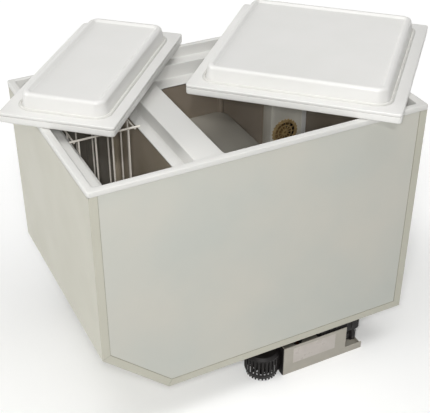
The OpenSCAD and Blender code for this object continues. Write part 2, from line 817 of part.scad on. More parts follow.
function hanger_screw_xs() = [
    tray_x + tray_t + fit + hanger_flange / 2 + hanger_t,
    tray_right - tray_t - fit - hanger_flange / 2 - hanger_t
];

// Folded tray that steps back behind the cowl, with a tall plain front plate and a low lip beside it
module unit_tray() {
    color("#B3AEA6") in_cabinet() difference() {
        union() {
            cuboid([plate_x, tray_y, tray_z], [tray_right, back_y, tray_top]);
            cuboid([tray_x, left_y, tray_z], [plate_x + 1, back_y, tray_top]);
            cuboid([plate_x, tray_y, tray_z], [plate_x1, tray_y + tray_t, tray_z + plate_h]);
            cuboid([plate_x, tray_y, tray_z], [plate_x + tray_t, tray_y + plate_return, tray_z + plate_h]);
            cuboid([plate_x1 - 1, tray_y, tray_z], [tray_right, tray_y + tray_t, tray_z + lip_h]);
            cuboid([tray_right - tray_t, tray_y, tray_z], [tray_right, back_y, tray_z + side_lip_h]);
            cuboid([tray_x, left_y, tray_z], [tray_x + tray_t, back_y, tray_z + side_lip_h]);
            cuboid([tray_x, back_y - tray_t, tray_z], [tray_right, back_y, tray_z + side_lip_h]);
        }
        compressor_holes(bolt_r + fit, tray_z - 1, tray_top + 1);
    }
}

module hanger(side) {
    x = side < 0 ? tray_x + tray_t + fit : tray_right - tray_t - fit;
    color("#9A9892") in_cabinet() difference() {
        union() {
            cuboid([min(x, x - side * hanger_t), hanger_y0, tray_top], [max(x, x - side * hanger_t), hanger_y1, 0]);
            for (z = [tray_top, -hanger_t])
                cuboid([min(x, x - side * (hanger_flange + hanger_t)), hanger_y0, z],
                    [max(x, x - side * (hanger_flange + hanger_t)), hanger_y1, z + hanger_t]);
        }
        hanger_holes(screw_r + fit, -hanger_t - 1, 1);
        // Round holes that lighten the web and let the air through
        for (y = [hanger_y0 + hanger_hole_in : hanger_hole_step : hanger_y1 - hanger_hole_in])
            translate([x - 5, y, tray_top / 2]) rotate([0, 90, 0]) cylinder(r = hanger_hole_r, h = 10);
    }
}

module left_hanger() { hanger(-1); }
module right_hanger() { hanger(1); }

module hanger_screws() {
    color("#8E8E8C") in_cabinet() for (x = hanger_screw_xs(), y = screw_ys) translate([x, y, 0]) {
        translate([0, 0, -hanger_t - screw_head_h]) difference() {
            cylinder(r = screw_head_r, h = screw_head_h);
            translate([0, 0, -1]) cylinder(r = screw_r, h = 2.6, $fn = 6);
        }
        translate([0, 0, -hanger_t - eps]) cylinder(r = screw_r, h = hanger_t + screw_grip);
    }
}

// Bowl of the cowl, moved inwards by w
module cowl_bowl(w) {
    rotate_extrude() polygon([
        [0, 0], [cowl_foot_r - w, 0], [cowl_foot_r - w, tooth_h], [cowl_r - w, cowl_foot_h],
        [cowl_r - w, cowl_h - 6], [cowl_r - 6 - w / 2, cowl_h - w], [0, cowl_h - w]
    ]);
}

// Slatted bowl with a toothed hem, and the duct that leads the air from it back to the condenser
module intake_cowl() {
    slat = 360 / cowl_slats;
    side = plate_x - fit;
    axis = [cowl_x, cowl_y, cowl_z];
    color("#1E1B1A") in_cabinet() {
        difference() {
            union() {
                translate(axis) cowl_bowl(0);
                cuboid(axis, [side, duct_end, cowl_top]);
                // Cheek between the bowl and the tall front plate
                cuboid([side - cowl_wall, tray_y + 1, cowl_z], [side, cowl_y, tray_z + plate_h]);
            }
            translate(axis - [0, 0, eps]) cowl_bowl(cowl_wall);
            cuboid(axis + [cowl_wall, cowl_r - 15, cowl_wall],
                [side - cowl_wall, duct_end + 1, cowl_top - cowl_wall]);
            translate(axis) for (i = [0 : cowl_slats - 1]) rotate([0, 0, (i + 0.5) * slat]) {
                translate([cowl_r - 5, -2, cowl_foot_h + 3]) cube([10, 4, cowl_h - cowl_foot_h - 13]);
                translate([cowl_foot_r - 5, -2.5, -1]) cube([10, 5, tooth_h]);
            }
        }
        // Finger guard across the open foot
        translate(axis) {
            for (i = [0 : 5]) rotate([0, 0, 60 * i + slat / 2])
                translate([0, -1.2, tooth_h - 1]) cube([cowl_foot_r - 1, 2.4, 2]);
            translate([0, 0, tooth_h - 1]) difference() {
                cylinder(r = intake_r - 8, h = 2);
                translate([0, 0, -1]) cylinder(r = intake_r - 10.4, h = 4);
            }
        }
    }
}

// Motor hung from the cap, with its shaft pointing down
module cowl_motor() {
    color("#3A3836") in_cabinet() translate([cowl_x, cowl_y, 0]) {
        translate([0, 0, motor_z]) cylinder(r = motor_r, h = cowl_top - cowl_wall - 2 * eps - motor_z);
        translate([0, 0, motor_z - intake_len - 1]) cylinder(r = motor_shaft_r, h = intake_len + 1 + eps);
    }
}

module intake_rotor() {
    color("#26221F") in_cabinet() translate([cowl_x, cowl_y, intake_z]) difference() {
        union() {
            cylinder(r = intake_hub_r, h = intake_len);
            blades(intake_hub_r, intake_r, intake_len, intake_blade_n, intake_pitch);
        }
        translate([0, 0, -1]) cylinder(r = motor_shaft_r + turn_fit, h = intake_len + 2);
    }
}

module condenser_block() {
    z0 = tray_top + 3;
    z1 = cond_z1;
    mid = (cond_y0 + cond_y1) / 2;
    color("#23201F") in_cabinet() {
        for (i = [0 : fin_n - 1])
            cuboid([cond_x0 + i * (cond_x1 - cond_x0 - fin_t) / (fin_n - 1), cond_y0, z0],
                [cond_x0 + i * (cond_x1 - cond_x0 - fin_t) / (fin_n - 1) + fin_t, cond_y1, z1]);
        for (y = [mid - tube_step, mid, mid + tube_step], z = [z0 + tube_in, z1 - tube_in])
            rod([cond_x0, y, z], [cond_x1, y, z], tube_r);
        // Feet that carry the block on the tray
        for (x = [cond_x0, cond_x1 - 12]) cuboid([x, cond_y0 + 10, tray_top], [x + 12, cond_y1 - 10, z0 + 1]);
    }
}

module compressor_holes(r, z0, z1) {
    for (a = [45 : 90 : 315])
        translate([comp_x + foot_reach * cos(a), comp_y + foot_reach * sin(a), z0])
            cylinder(r = r, h = z1 - z0);
}

// Can with round shoulders, a short base and a welded seam at half height
module can(r, h, shoulder) {
    base = 3;
    rotate_extrude() {
        square([r - shoulder - 2, base + 1]);
        translate([0, base]) square([r - shoulder, h - base]);
        translate([0, base + shoulder]) square([r, h - base - 2 * shoulder]);
        for (z = [base + shoulder, h - shoulder]) translate([r - shoulder, z]) circle(shoulder);
        translate([0, h / 2]) square([r + seam_w, 3]);
    }
}

// Welded shell on a four-armed foot plate
module compressor() {
    color("#1B1A1A") in_cabinet() difference() {
        union() {
            translate([comp_x, comp_y, foot_z + foot_t - 1]) can(comp_r, comp_h - foot_t + 1, 14);
            for (a = [45, 135]) translate([comp_x, comp_y, foot_z]) rotate([0, 0, a])
                translate([-foot_reach, -foot_w / 2, 0]) cube([2 * foot_reach, foot_w, foot_t]);
            for (a = [45 : 90 : 315])
                translate([comp_x + foot_reach * cos(a), comp_y + foot_reach * sin(a), foot_z])
                    cylinder(r = foot_w / 2 + 2, h = foot_t);
        }
        compressor_holes(bolt_r + fit, foot_z - 1, foot_z + foot_t + 2);
    }
}

// Rubber bushes between the tray and the foot plate
module compressor_mounts() {
    color("#2B2B2B") in_cabinet() difference() {
        for (a = [45 : 90 : 315])
            translate([comp_x + foot_reach * cos(a), comp_y + foot_reach * sin(a), tray_top])
                rotate_extrude() polygon([
                    [0, 0], [mount_r, 0], [mount_r, mount_h / 4], [mount_r - 3, mount_h / 2],
                    [mount_r, 3 * mount_h / 4], [mount_r, mount_h], [0, mount_h]
                ]);
        compressor_holes(bolt_r + fit, tray_top - 1, tray_top + mount_h + 1);
    }
}

module compressor_bolts() {
    top = foot_z + foot_t;
    color("#8E8E8C") in_cabinet() for (a = [45 : 90 : 315])
        translate([comp_x + foot_reach * cos(a), comp_y + foot_reach * sin(a), 0]) {
            translate([0, 0, tray_top]) cylinder(r = bolt_r, h = top - tray_top + eps);
            translate([0, 0, top]) cylinder(r = 5.5, h = 4, $fn = 6);
            translate([0, 0, top]) cylinder(r = 6.5, h = 1.2);
        }
}

// Electronic unit, hung under the cabinet at the right of the front plate
module control_box() {
    x0 = box_x1 - box_w;
    y0 = tray_y + 5;
    color("#1C1A19") in_cabinet() {
        along_y(y0, y0 + box_d) {
            translate([x0, box_z0 + box_r]) square([box_w, -box_z0 - box_r]);
            translate([x0 + box_r, box_z0]) square([box_w - 2 * box_r, -box_z0]);
            for (x = [x0 + box_r, box_x1 - box_r]) translate([x, box_z0 + box_r]) circle(box_r);
        }
        // Cooling ribs on the face
        for (x = [x0 + 8 : 16 : box_x1 - 20]) cuboid([x, y0 - 2, box_z0 + 9], [x + 3, y0 + 1, -8]);
    }
}

// Self-sealing refrigerant coupling with a cone-shaped end, lying along the front of the unit
module quick_coupling() {
    nut_r = coupling_r - 5;
    color("#1B1918") in_cabinet() translate([coupling_x1, coupling_y, coupling_z]) rotate([0, -90, 0]) {
        rotate_extrude() polygon([
            [0, 0], [5, 0], [8, 3], [coupling_r, 13], [coupling_r, 21], [nut_r - 2, 26], [nut_r - 2, 46],
            [nut_r - 6, 48], [nut_r - 6, coupling_len - 2], [suction_r, coupling_len], [0, coupling_len]
        ]);
        translate([0, 0, 30]) cylinder(r = nut_r + 2, h = 12, $fn = 6);
    }
}

// Copper filter dryer on the tray behind the condenser
module filter_dryer() {
    color("#B4713F") in_cabinet() translate([dryer_x, dryer_y, dryer_z]) rotate([0, 90, 0])
        rotate_extrude() polygon([
            [0, 0], [line_r, 0], [line_r, 8], [dryer_r - 3, 14], [dryer_r, 18], [dryer_r, dryer_len - 18],
            [dryer_r - 3, dryer_len - 14], [line_r, dryer_len - 8], [line_r, dryer_len], [0, dryer_len]
        ]);
}

// Copper line from the dryer up into the cabinet's floor
module liquid_line() {
    x = dryer_x + dryer_len;
    y = dryer_y + line_run;
    color("#B4713F") in_cabinet()
        pipe([[x, dryer_y, dryer_z], [x + line_run, dryer_y, dryer_z], [x + line_run, y, dryer_z],
            [x + line_run, y, 0]], line_r);
}

// Copper line from the coupling back between the condenser and the compressor to the cabinet's floor
module suction_line() {
    color("#B4713F") in_cabinet()
        pipe([[coupling_x1 - coupling_len, coupling_y, coupling_z], [suction_x, coupling_y, coupling_z],
            [suction_x, suction_y, coupling_z], [suction_x, suction_y, 0]], suction_r);
}

side_wrap();
front_panel();
back_panel();
insulation_foam();
top_frame();
small_liner();
large_liner();
evaporator_plate();
wire_basket();
fan_housing();
fan_guard();
fan_frame();
circulation_rotor();
evaporator_coil();
small_lid_shell();
small_lid_core();
small_lid_liner();
small_lid_gasket();
large_lid_shell();
large_lid_core();
large_lid_liner();
large_lid_gasket();
unit_tray();
left_hanger();
right_hanger();
hanger_screws();
intake_cowl();
cowl_motor();
intake_rotor();
condenser_block();
compressor();
compressor_mounts();
compressor_bolts();
control_box();
quick_coupling();
filter_dryer();
liquid_line();
suction_line();
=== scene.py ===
"""Looks of a built-in chest refrigerator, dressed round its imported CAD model.

Metres, in the frame's own axes: +X to the right, +Y to the back, +Z up, with the origin on the floor under
the middle of the cabinet. A size in millimetres is multiplied by MM or has mm in its name.
"""

from __future__ import annotations

import logging
import math
from collections.abc import Iterable, Sequence
from dataclasses import dataclass
from enum import Enum

import bmesh
import bpy
from mathutils import Matrix, Vector


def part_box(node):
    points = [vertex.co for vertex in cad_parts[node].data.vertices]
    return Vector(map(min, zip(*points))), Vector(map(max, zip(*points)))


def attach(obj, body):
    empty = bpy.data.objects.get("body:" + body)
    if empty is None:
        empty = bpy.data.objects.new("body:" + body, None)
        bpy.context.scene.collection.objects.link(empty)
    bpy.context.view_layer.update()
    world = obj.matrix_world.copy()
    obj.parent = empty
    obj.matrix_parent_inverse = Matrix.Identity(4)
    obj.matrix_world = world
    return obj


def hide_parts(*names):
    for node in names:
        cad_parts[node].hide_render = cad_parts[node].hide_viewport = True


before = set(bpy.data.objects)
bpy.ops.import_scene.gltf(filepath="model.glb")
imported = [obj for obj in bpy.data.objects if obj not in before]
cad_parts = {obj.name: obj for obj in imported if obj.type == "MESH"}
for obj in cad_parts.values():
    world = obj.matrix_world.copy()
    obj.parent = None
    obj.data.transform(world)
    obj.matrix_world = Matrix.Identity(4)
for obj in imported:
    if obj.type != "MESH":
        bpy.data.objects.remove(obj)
log = logging.getLogger("chest_refrigerator")

MM = 0.001
MM_PER_METRE = 1000
WHITE = (1.0, 1.0, 1.0, 1.0)
# One step of a profile: how far inwards and how far up
Step = tuple[float, float]
# Folds steeper than this are shaded as sharp edges
SHARP_DEG = 32
# The colour mix's sockets by number, because its plain and vector sockets have the same names
MIX_FIRST, MIX_SECOND, MIX_RESULT = 6, 7, 2
# Stretches of a noise's middle that the colour and the roughness follow
COLOUR_SPAN = (0.35, 0.65)
ROUGHNESS_SPAN = (0.3, 0.7)
CLOUD_DETAIL = 3.0
EDGE_SAMPLES = 4


def linear(hex_colour: str) -> tuple[float, float, float, float]:
    """Turns an sRGB hex value into a linear colour.

    Args:
        hex_colour: the colour as it looks, such as "#E4E3DF".

    Returns:
        Its linear red, green and blue by the sRGB curve, and an alpha of 1.
    """
    channels = [int(hex_colour[i : i + 2], 16) / 255 for i in (1, 3, 5)]
    red, green, blue = (c / 12.92 if c <= 0.04045 else ((c + 0.055) / 1.055) ** 2.4 for c in channels)
    return red, green, blue, 1.0


def empty_tree(owner: bpy.types.Material | bpy.types.World) -> bpy.types.NodeTree:
    """Gives a material or a world a node tree with nothing in it.

    Args:
        owner: the material or the world.

    Returns:
        The empty tree.
    """
    owner.use_nodes = True
    owner.node_tree.nodes.clear()
    return owner.node_tree


def add(
    tree: bpy.types.NodeTree, kind: str, inputs: dict[str | int, object] | None = None, **settings: object
) -> bpy.types.Node:
    """Adds a node to a material or the world, with its settings and its inputs.

    Args:
        tree: the node tree that gets the node.
        kind: the node's type name.
        inputs: a value for each named or numbered input, or the socket that feeds it.
        settings: the node's own settings.

    Returns:
        The new node.
    """
    node = tree.nodes.new(kind)
    for name, value in settings.items():
        setattr(node, name, value)
    for name, value in (inputs or {}).items():
        if isinstance(value, bpy.types.NodeSocket):
            tree.links.new(value, node.inputs[name])
        else:
            node.inputs[name].default_value = value
    return node


class Grain(Enum):
    """How a surface's fine relief is formed."""

    ORANGE_PEEL = "sprayed or coil-coated paint that has flowed out"
    MOULDED = "plastic against a lightly blasted tool"
    BRUSHED = "lines drawn along one axis"
    CELLS = "cut or moulded foam"


# How many finer layers a grain's noise has
GRAIN_DETAIL = {Grain.ORANGE_PEEL: 1.0, Grain.BRUSHED: 2.0, Grain.MOULDED: 4.0}


@dataclass(frozen=True)
class Finish:
    """One finish, from its colour to the relief of its surface.

    The colours are sRGB hex values. The patterns' sizes, the relief's height and the radius of the softened
    edges are in millimetres. A grain that is too fine to show in the render is drawn coarser than it is.
    """

    name: str
    slot: str
    colour: str
    shade: str
    roughness: float
    grain: Grain
    grain_mm: float
    relief_mm: float
    cloud_mm: float
    cloud: float
    edge_mm: float = 0.6
    rough_spread: float = 0.05
    metallic: float = 0.0
    ior: float = 1.5
    stretch: tuple[float, float, float] = (1.0, 1.0, 1.0)

    def material(self) -> bpy.types.Material:
        """Builds the material once and returns it every time after that."""
        return bpy.data.materials.get(self.name) or self._build()

    def _build(self) -> bpy.types.Material:
        """Builds the node tree.

        Returns:
            The new material.
        """
        material = bpy.data.materials.new(self.name)
        tree = empty_tree(material)
        place = add(tree, "ShaderNodeTexCoord").outputs["Object"]
        cloud = add(
            tree,
            "ShaderNodeTexNoise",
            {"Vector": place, "Scale": MM_PER_METRE / self.cloud_mm, "Detail": CLOUD_DETAIL},
        )
        share = add(
            tree,
            "ShaderNodeMapRange",
            {
                "Value": cloud.outputs["Fac"],
                "From Min": COLOUR_SPAN[0],
                "From Max": COLOUR_SPAN[1],
                "To Min": 0.0,
                "To Max": self.cloud,
            },
        )
        colour = add(
            tree,
            "ShaderNodeMix",
            {
                "Factor": share.outputs["Result"],
                MIX_FIRST: linear(self.colour),
                MIX_SECOND: linear(self.shade),
            },
            data_type="RGBA",
        )
        rough = add(
            tree,
            "ShaderNodeMapRange",
            {
                "Value": cloud.outputs["Fac"],
                "From Min": ROUGHNESS_SPAN[0],
                "From Max": ROUGHNESS_SPAN[1],
                "To Min": self.roughness - self.rough_spread,
                "To Max": self.roughness + self.rough_spread,
            },
        )
        soft_edge = add(tree, "ShaderNodeBevel", {"Radius": self.edge_mm * MM}, samples=EDGE_SAMPLES)
        relief = add(
            tree,
            "ShaderNodeBump",
            {
                "Height": self._relief(tree, place),
                "Distance": self.relief_mm * MM,
                "Strength": 1.0,
                "Normal": soft_edge.outputs["Normal"],
            },
        )
        surface = add(
            tree,
            "ShaderNodeBsdfPrincipled",
            {
                "Base Color": colour.outputs[MIX_RESULT],
                "Roughness": rough.outputs["Result"],
                "Metallic": self.metallic,
                "IOR": self.ior,
                "Normal": relief.outputs["Normal"],
            },
        )
        add(tree, "ShaderNodeOutputMaterial", {"Surface": surface.outputs["BSDF"]})
        return material

    def _relief(self, tree: bpy.types.NodeTree, place: bpy.types.NodeSocket) -> bpy.types.NodeSocket:
        """Adds the pattern that the relief is made from.

        Args:
            tree: the material's node tree.
            place: the socket with the object coordinates.

        Returns:
            The socket with the height.
        """
        scale = MM_PER_METRE / self.grain_mm
        if self.grain is Grain.CELLS:
            cells = add(tree, "ShaderNodeTexVoronoi", {"Vector": place, "Scale": scale})
            return cells.outputs["Distance"]
        if self.grain is Grain.BRUSHED:
            drawn = add(tree, "ShaderNodeMapping", {"Vector": place, "Scale": self.stretch})
            place = drawn.outputs["Vector"]
        noise = {"Vector": place, "Scale": scale, "Detail": GRAIN_DETAIL[self.grain]}
        return add(tree, "ShaderNodeTexNoise", noise).outputs["Fac"]


# Coil-coated steel: a warm grey satin coat that has flowed out, so highlights are broad and a little uneven
CASING = Finish(
    "coated_steel_warm", slot="casing", colour="#C0BEB0", shade="#BAB8AA", roughness=0.42,
    grain=Grain.ORANGE_PEEL, grain_mm=2.2, relief_mm=0.012, cloud_mm=160, cloud=0.5, edge_mm=1.2,
)
# The same coat on the flat end panels, a shade greyer and flatter
PANEL = Finish(
    "coated_steel_grey", slot="panel", colour="#C8C6BC", shade="#BEC1BA", roughness=0.36,
    grain=Grain.ORANGE_PEEL, grain_mm=2.6, relief_mm=0.010, cloud_mm=260, cloud=0.8, edge_mm=0.5,
)
# Vacuum-formed ABS: white with a faint warm tone, soft gloss, corners drawn round
WHITE_ABS = Finish(
    "white_abs_moulding", slot="white_moulding", colour="#E5E4E1", shade="#E0E0DC", roughness=0.34,
    grain=Grain.MOULDED, grain_mm=1.8, relief_mm=0.006, cloud_mm=120, cloud=0.5, edge_mm=1.2,
)
# The same ABS on the cabinet's frame, a shade greyer than the lids
FRAME_ABS = Finish(
    "greyish_abs_moulding", slot="white_moulding", colour="#DAD9D5", shade="#D5D5D2", roughness=0.36,
    grain=Grain.MOULDED, grain_mm=1.8, relief_mm=0.006, cloud_mm=140, cloud=0.5, edge_mm=1.2,
)
# Soft PVC: as white as the moulding beside it, duller
GASKET_PVC = Finish(
    "white_soft_pvc", slot="gasket", colour="#DAD9D4", shade="#D0CFC9", roughness=0.55,
    grain=Grain.MOULDED, grain_mm=1.5, relief_mm=0.01, cloud_mm=60, cloud=0.4, edge_mm=0.8,
)
# Painted shadow: a dark greige bead that stands for the shadow line in the seam between the casing's flange
# and the end panels
SEAM_SHADOW_BEAD = Finish(
    "painted_seam_shadow", slot="gasket", colour="#97917F", shade="#7E7868", roughness=0.6,
    grain=Grain.MOULDED, grain_mm=1.5, relief_mm=0.02, cloud_mm=18, cloud=0.8, edge_mm=0.2,
)
# Coated liner sheet: taupe, satin, slightly uneven. This copy in the small compartment is a shade lighter
# than the large compartment's: painted light
LINER = Finish(
    "taupe_liner_sheet", slot="liner", colour="#AEA291", shade="#9F9581", roughness=0.38,
    grain=Grain.ORANGE_PEEL, grain_mm=2.4, relief_mm=0.015, cloud_mm=110, cloud=0.8, edge_mm=1.5,
)
# The same sheet in the large compartment, a shade darker: painted shade, for the shade that the lids cast
# into it
LINER_PAINTED_SHADE = Finish(
    "liner_sheet_painted_shade", slot="liner", colour="#92877A", shade="#84796B", roughness=0.40,
    grain=Grain.ORANGE_PEEL, grain_mm=2.4, relief_mm=0.015, cloud_mm=110, cloud=0.8, edge_mm=1.5,
)
# Grey moulded shelf of the large compartment: lighter and more neutral than the liner, soft gloss
SHELF_SHEET = Finish(
    "grey_shelf_sheet", slot="liner", colour="#A9A59B", shade="#A19D94", roughness=0.36,
    grain=Grain.MOULDED, grain_mm=2.0, relief_mm=0.006, cloud_mm=220, cloud=0.5, edge_mm=0.6,
)
# Rigid polyurethane foam: cream, open cells where it is cut
FOAM = Finish(
    "polyurethane_foam", slot="foam", colour="#E2D6A8", shade="#D2C28C", roughness=0.9,
    grain=Grain.CELLS, grain_mm=2.5, relief_mm=0.3, cloud_mm=30, cloud=0.8, edge_mm=1.0,
)
# Roll-bonded aluminium plate: dull grey, faint rolling lines
ROLL_BOND = Finish(
    "roll_bond_aluminium", slot="roll_bond", colour="#9A968E", shade="#8A867E", roughness=0.42,
    grain=Grain.BRUSHED, grain_mm=1.0, relief_mm=0.02, cloud_mm=40, cloud=0.6,
    metallic=0.7, stretch=(8.0, 8.0, 0.4),
)
# Epoxy-coated wire: warm pale grey, soft gloss
COATED_WIRE = Finish(
    "epoxy_coated_wire", slot="coated_wire", colour="#F0EBE2", shade="#E8E1D6", roughness=0.38,
    grain=Grain.ORANGE_PEEL, grain_mm=1.5, relief_mm=0.02, cloud_mm=25, cloud=0.6, edge_mm=0.3,
)
# Moulded ABS of the fan housing: pale warm grey
HOUSING_ABS = Finish(
    "warm_grey_abs", slot="housing", colour="#ECE9DD", shade="#E2DFD2", roughness=0.45,
    grain=Grain.MOULDED, grain_mm=1.6, relief_mm=0.02, cloud_mm=60, cloud=0.6, edge_mm=1.0,
)
# Glass-filled nylon of the fan's guard: golden brown, mottled
GUARD_NYLON = Finish(
    "golden_brown_nylon", slot="guard", colour="#CBB07E", shade="#9A8158", roughness=0.5,
    grain=Grain.MOULDED, grain_mm=1.2, relief_mm=0.03, cloud_mm=12, cloud=0.8,
)
# Black ABS of the cowl, the fans and the electronic unit
BLACK_ABS = Finish(
    "black_abs", slot="fan_black", colour="#100D0C", shade="#181514", roughness=0.55,
    grain=Grain.MOULDED, grain_mm=1.0, relief_mm=0.02, cloud_mm=30, cloud=0.6, edge_mm=0.5,
    ior=1.36,
)
# Brown nylon of the circulation fan's blades
BLADE_NYLON = Finish(
    "brown_nylon_blades", slot="fan_brown", colour="#8A6D3E", shade="#735A32", roughness=0.5,
    grain=Grain.MOULDED, grain_mm=1.2, relief_mm=0.02, cloud_mm=15, cloud=0.6,
)
# Bare aluminium fins: bright, with rolling lines
ALUMINIUM_FINS = Finish(
    "aluminium_fins", slot="fins", colour="#C2C4C6", shade="#ACAEB0", roughness=0.3,
    grain=Grain.BRUSHED, grain_mm=0.8, relief_mm=0.01, cloud_mm=25, cloud=0.6, edge_mm=0.2,
    metallic=1.0, stretch=(1.0, 8.0, 8.0),
)
# Polyester powder coat on the unit's tray: mid grey, satin
TRAY_PAINT = Finish(
    "grey_powder_coat", slot="tray", colour="#B2ADA2", shade="#A7A297", roughness=0.45,
    grain=Grain.ORANGE_PEEL, grain_mm=1.4, relief_mm=0.03, cloud_mm=50, cloud=0.7, edge_mm=0.6,
)
# Bare film label on the tray's plate: a little lighter and smoother than the paint round it
LABEL_FILM = Finish(
    "bare_label_film", slot="tray", colour="#C6BFB8", shade="#BEB7B0", roughness=0.3,
    grain=Grain.MOULDED, grain_mm=3.0, relief_mm=0.004, cloud_mm=25, cloud=0.7, edge_mm=0.1,
)
# Zinc-plated sheet of the hangers: dull, clouded
ZINC_SHEET = Finish(
    "zinc_plated_sheet", slot="hanger", colour="#A3A29C", shade="#8F8F8A", roughness=0.4,
    grain=Grain.BRUSHED, grain_mm=1.0, relief_mm=0.02, cloud_mm=30, cloud=0.8, edge_mm=0.4,
    metallic=0.8, stretch=(6.0, 0.4, 6.0),
)
# Zinc-plated screws and bolts: brighter
ZINC_SCREW = Finish(
    "zinc_plated_screw", slot="zinc", colour="#B5B5B1", shade="#9B9B97", roughness=0.3,
    grain=Grain.MOULDED, grain_mm=0.6, relief_mm=0.01, cloud_mm=6, cloud=0.6, edge_mm=0.3,
    metallic=1.0,
)
# Black-painted fins and tubes of the condenser
BLACK_FINS = Finish(
    "black_painted_fins", slot="black_fins", colour="#120F0E", shade="#1A1715", roughness=0.55,
    grain=Grain.MOULDED, grain_mm=0.8, relief_mm=0.01, cloud_mm=25, cloud=0.6, edge_mm=0.2,
    ior=1.36,
)
# Black stove enamel on the compressor: smoother than the mouldings, with runs
BLACK_ENAMEL = Finish(
    "black_stove_enamel", slot="black_shell", colour="#100D0C", shade="#181514", roughness=0.42,
    grain=Grain.ORANGE_PEEL, grain_mm=2.5, relief_mm=0.03, cloud_mm=45, cloud=0.6,
    ior=1.38,
)
# Natural rubber dampers
RUBBER = Finish(
    "black_rubber", slot="damper", colour="#1C1A17", shade="#26231F", roughness=0.75,
    grain=Grain.MOULDED, grain_mm=0.9, relief_mm=0.03, cloud_mm=12, cloud=0.6,
    ior=1.52,
)
# Drawn copper tube: warm, stained darker in places
COPPER = Finish(
    "drawn_copper", slot="copper", colour="#7A4A2E", shade="#4C3020", roughness=0.42,
    grain=Grain.BRUSHED, grain_mm=0.6, relief_mm=0.01, cloud_mm=18, cloud=0.9, edge_mm=0.2,
    metallic=1.0, stretch=(4.0, 4.0, 4.0),
)

NODE_FINISHES: dict[str, Finish] = {
    "side_wrap": CASING,
    "front_panel": PANEL,
    "back_panel": PANEL,
    "insulation_foam": FOAM,
    "top_frame": FRAME_ABS,
    "small_liner": LINER,
    "large_liner": LINER_PAINTED_SHADE,
    "evaporator_plate": ROLL_BOND,
    "wire_basket": COATED_WIRE,
    "fan_housing": HOUSING_ABS,
    "fan_guard": GUARD_NYLON,
    "fan_frame": BLACK_ABS,
    "circulation_rotor": BLADE_NYLON,
    "evaporator_coil": ALUMINIUM_FINS,
    "small_lid_shell": WHITE_ABS,
    "small_lid_core": FOAM,
    "small_lid_liner": WHITE_ABS,
    "small_lid_gasket": GASKET_PVC,
    "large_lid_shell": WHITE_ABS,
    "large_lid_core": FOAM,
    "large_lid_liner": WHITE_ABS,
    "large_lid_gasket": GASKET_PVC,
    "unit_tray": TRAY_PAINT,
    "left_hanger": ZINC_SHEET,
    "right_hanger": ZINC_SHEET,
    "hanger_screws": ZINC_SCREW,
    "intake_cowl": BLACK_ABS,
    "cowl_motor": BLACK_ABS,
    "intake_rotor": BLACK_ABS,
    "condenser_block": BLACK_FINS,
    "compressor": BLACK_ENAMEL,
    "compressor_mounts": RUBBER,
    "compressor_bolts": ZINC_SCREW,
    "control_box": BLACK_ABS,
    "quick_coupling": BLACK_ENAMEL,
    "filter_dryer": COPPER,
    "liquid_line": COPPER,
    "suction_line": COPPER,
}


def dress_node(node: str, finish: Finish) -> None:
    """Gives a CAD node its finish in place of its plain colour.

    Args:
        node: the node's name.
        finish: the finish that it gets.
    """
    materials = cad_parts[node].data.materials
    materials.clear()
    materials.append(finish.material())


def add_object(name: str, data: bpy.types.ID) -> bpy.types.Object:
    """Makes an object of a mesh, a lamp or a camera and puts it in the scene.

    Args:
        name: the object's name.
        data: what it is made of.

    Returns:
        The new object.
    """
    made = bpy.data.objects.new(name, data)
    bpy.context.scene.collection.objects.link(made)
    return made


def add_piece(
    bm: bmesh.types.BMesh, name: str, finish: Finish, body: str = "cabinet", nodes: Iterable[str] = ()
) -> None:
    """Makes a finished piece from a bmesh, which is freed, in place of CAD nodes where it names any.

    Args:
        bm: the shape, in the frame's own place.
        name: the piece's name.
        finish: its finish.
        body: the body that it rides on.
        nodes: the CAD nodes that it stands for.
    """
    bmesh.ops.recalc_face_normals(bm, faces=bm.faces)
    mesh = bpy.data.meshes.new(name)
    bm.to_mesh(mesh)
    bm.free()
    mesh.shade_smooth()
    mesh.set_sharp_from_angle(angle=math.radians(SHARP_DEG))
    mesh.materials.append(finish.material())
    piece = add_object(name, mesh)
    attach(piece, body)
    if nodes:
        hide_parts(*nodes)
    log.info("%s: %d faces on %s", name, len(mesh.polygons), body)


class Rounded(Enum):
    """What a bevel rounds off."""

    EDGES = "EDGES"
    CORNERS = "VERTICES"


def bevel(
    bm: bmesh.types.BMesh,
    geom: Iterable[bmesh.types.BMEdge | bmesh.types.BMVert],
    radius: float,
    segments: int,
    rounded: Rounded = Rounded.EDGES,
) -> list[bmesh.types.BMVert]:
    """Rounds edges or corners off.

    Args:
        bm: the bmesh that holds them.
        geom: the edges or the corners.
        radius: the radius that they get.
        segments: how many faces go round each.
        rounded: which of the two it rounds.

    Returns:
        The new corners.
    """
    made = bmesh.ops.bevel(
        bm,
        geom=list(geom),
        offset=radius,
        affect=rounded.value,
        segments=segments,
        profile=0.5,
        material=-1,
    )
    return made["verts"]


def soften(node: str, radius: float, segments: int = 3) -> None:
    """Puts a copy with rounded edges in place of a CAD node on the cabinet.

    Args:
        node: the node's name.
        radius: the radius of the edges.
        segments: how many faces go round an edge.
    """
    weld_gap = 0.002 * MM
    flat_deg = 0.5
    least_fold_deg = 35
    bm = bmesh.new()
    bm.from_mesh(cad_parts[node].data)
    bmesh.ops.remove_doubles(bm, verts=bm.verts, dist=weld_gap)
    bmesh.ops.dissolve_limit(bm, angle_limit=math.radians(flat_deg), verts=bm.verts, edges=bm.edges)
    folds = [e for e in bm.edges if e.is_manifold and e.calc_face_angle() > math.radians(least_fold_deg)]
    bevel(bm, folds, radius, segments)
    add_piece(bm, f"{node}_skin", NODE_FINISHES[node], nodes=[node])


def node_box(node: str) -> tuple[Vector, Vector]:
    """Looks up a CAD node's lowest and highest corners."""
    low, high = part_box(node)
    return Vector(low), Vector(high)


